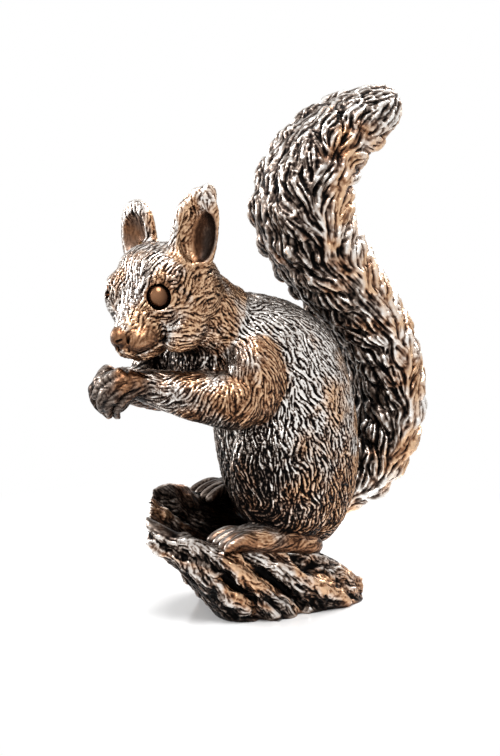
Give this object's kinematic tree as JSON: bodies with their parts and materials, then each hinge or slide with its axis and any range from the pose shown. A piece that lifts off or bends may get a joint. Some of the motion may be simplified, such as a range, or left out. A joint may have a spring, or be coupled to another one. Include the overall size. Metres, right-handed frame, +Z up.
{
  "type": "squirrel figurine",
  "caption": "Table-top bronze squirrel that sits upright on a split log with a nut in its forepaws and its tail raised behind its back.",
  "frame": {"origin": "on the log's flat resting face, under the middle of the figure", "axes": "+Z up, the squirrel faces -X, its left side is -Y"},
  "size_m": [0.077, 0.0318, 0.1086],
  "materials": {
    "patinated_bronze": "dark brown patina, rubbed and waxed",
    "polished_bronze": "smooth dark brown patina, waxed",
    "bright_brass": "drawn rod",
    "plain_steel": "zinc plated"
  },
  "bodies": {
    "root": {"log_base": "patinated_bronze", "torso": "patinated_bronze", "head": "patinated_bronze", "left_ear": "patinated_bronze", "right_ear": "patinated_bronze", "left_foreleg": "patinated_bronze", "right_foreleg": "patinated_bronze", "hazelnut": "patinated_bronze", "left_hind_foot": "patinated_bronze", "right_hind_foot": "patinated_bronze", "tail": "patinated_bronze", "left_eye": "polished_bronze", "right_eye": "polished_bronze", "neck_dowel": "bright_brass", "tail_dowel": "bright_brass", "shoulder_dowels": "bright_brass", "ear_pins": "bright_brass", "foot_studs": "plain_steel", "stud_washers": "plain_steel", "stud_nuts": "plain_steel"}
  },
  "joints": []
}
